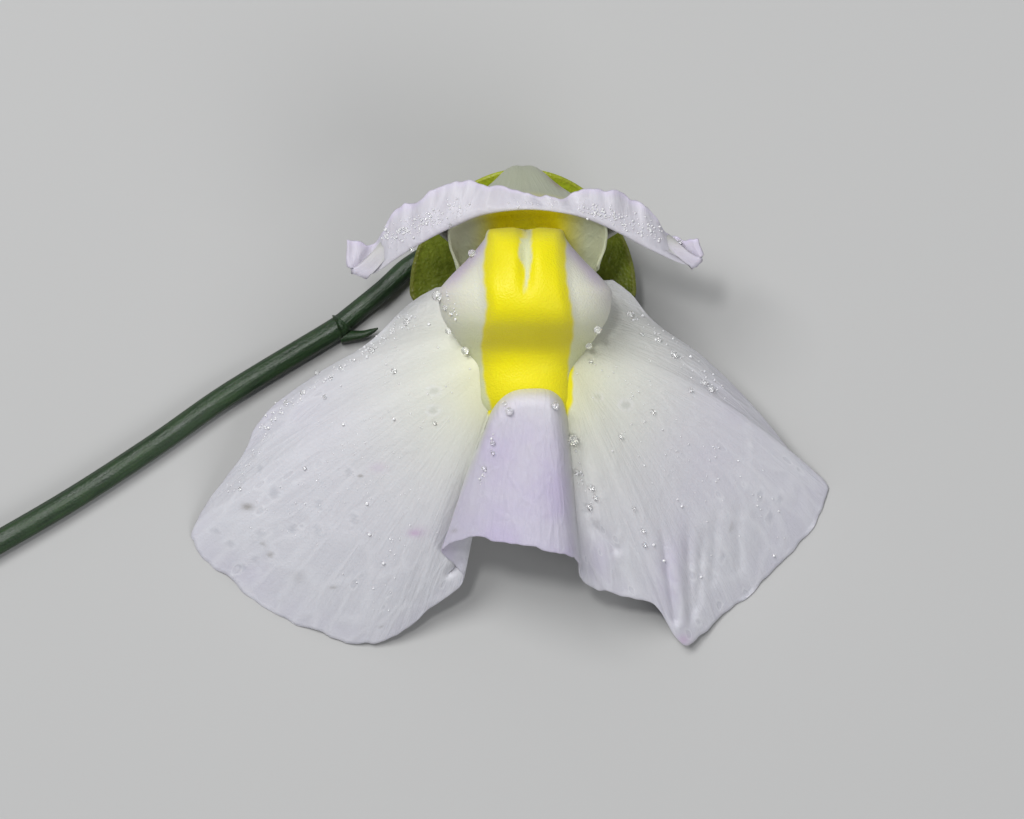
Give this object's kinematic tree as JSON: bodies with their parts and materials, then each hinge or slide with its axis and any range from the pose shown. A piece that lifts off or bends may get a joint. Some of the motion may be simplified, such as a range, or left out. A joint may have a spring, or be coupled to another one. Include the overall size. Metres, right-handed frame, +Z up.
{
  "type": "bladderwort flower",
  "caption": "Bladderwort flower as picked: broad pleated lower lip, swollen yellow palate, hooded upper lip, green sepals and a cut stalk, lying on its back.",
  "frame": {"origin": "on the surface that the flower lies on, under the middle of its bounding box", "axes": "+X across the flower, from its left lobe and stalk to its right lobe; +Y from the lower lip to the upper lip; +Z up, out of the flower's face"},
  "size_m": [0.0442, 0.0246, 0.0139],
  "materials": {
    "stalk": "satin",
    "sepal": "satin",
    "spur": "satin",
    "lower_lip": "satin",
    "upper_lip": "satin",
    "pistil": "satin",
    "stamen": "matte"
  },
  "bodies": {
    "root": {"peduncle": "stalk", "pedicel": "stalk", "bract": "stalk", "upper_sepal": "sepal", "lower_sepal": "sepal", "spur": "spur", "lower_lip": "lower_lip", "upper_lip": "upper_lip", "pistil": "pistil", "left_stamen": "stamen", "right_stamen": "stamen"}
  },
  "joints": []
}
